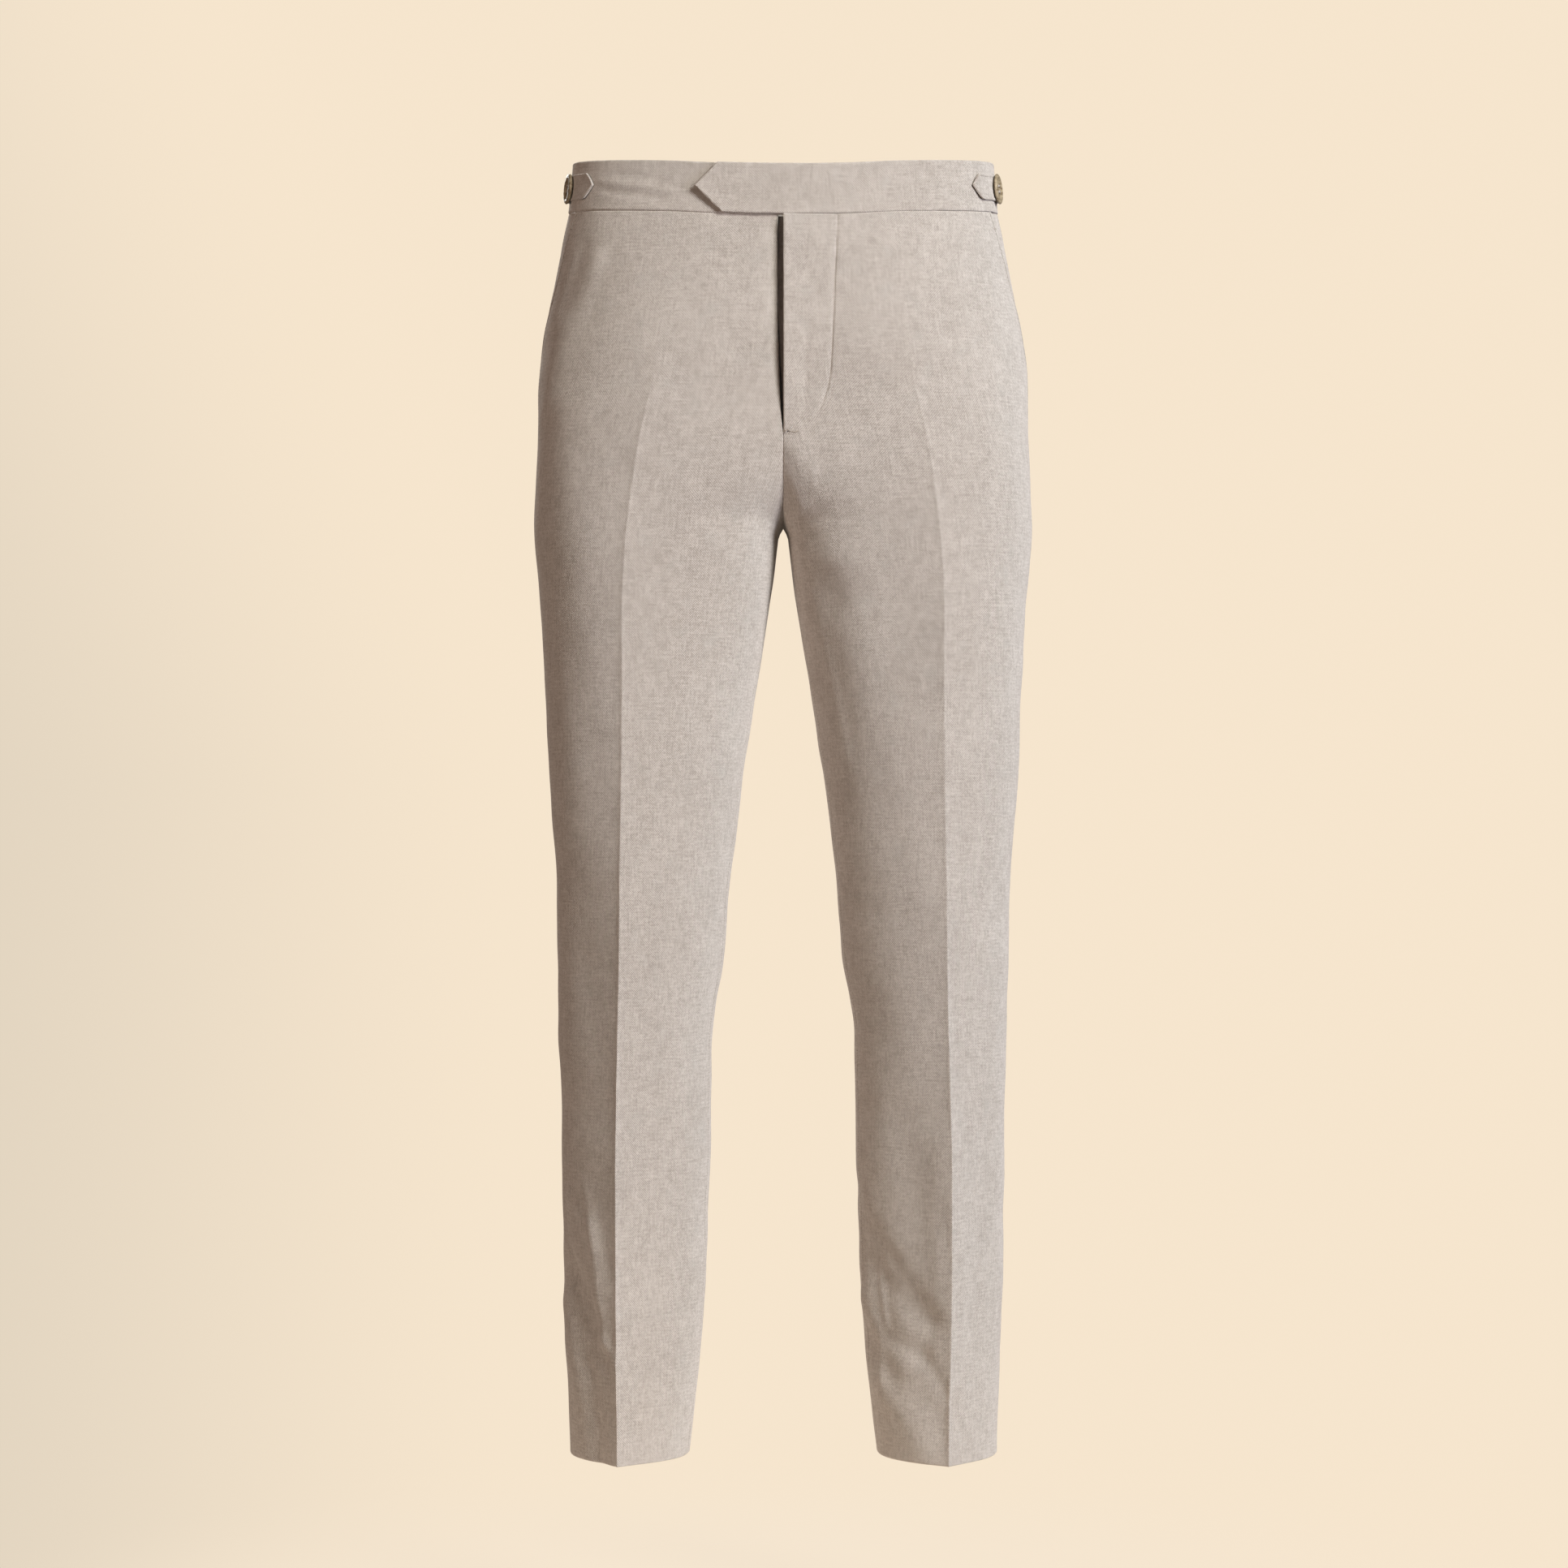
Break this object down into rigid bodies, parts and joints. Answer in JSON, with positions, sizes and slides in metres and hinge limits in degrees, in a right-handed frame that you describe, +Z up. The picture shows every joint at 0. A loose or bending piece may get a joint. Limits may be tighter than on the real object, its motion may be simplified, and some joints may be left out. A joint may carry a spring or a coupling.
{
  "type": "suit trousers",
  "caption": "Slim suit trousers with pressed creases, a plain waistband ending in a pointed tab, slanted pockets and buttoned side adjusters, filled out as worn.",
  "frame": {"origin": "centre of the waist, about half way up the waistband, 1.025 m above the hems", "axes": "+Z up, the front faces -Y, the wearer's left at +X"},
  "size_m": [0.4034, 0.2385, 1.0559],
  "materials": {
    "suiting": "matt hopsack weave",
    "horn_button": "satin"
  },
  "bodies": {
    "root": {"front_left": "suiting", "front_right": "suiting", "back_left": "suiting", "back_right": "suiting", "waistband_left": "suiting", "waistband_right": "suiting", "pocket_facing_left": "suiting", "pocket_facing_right": "suiting", "side_tab_left": "suiting", "side_tab_right": "suiting", "fly_underlap": "suiting", "tab_button_left": "horn_button", "tab_button_right": "horn_button"}
  },
  "joints": []
}
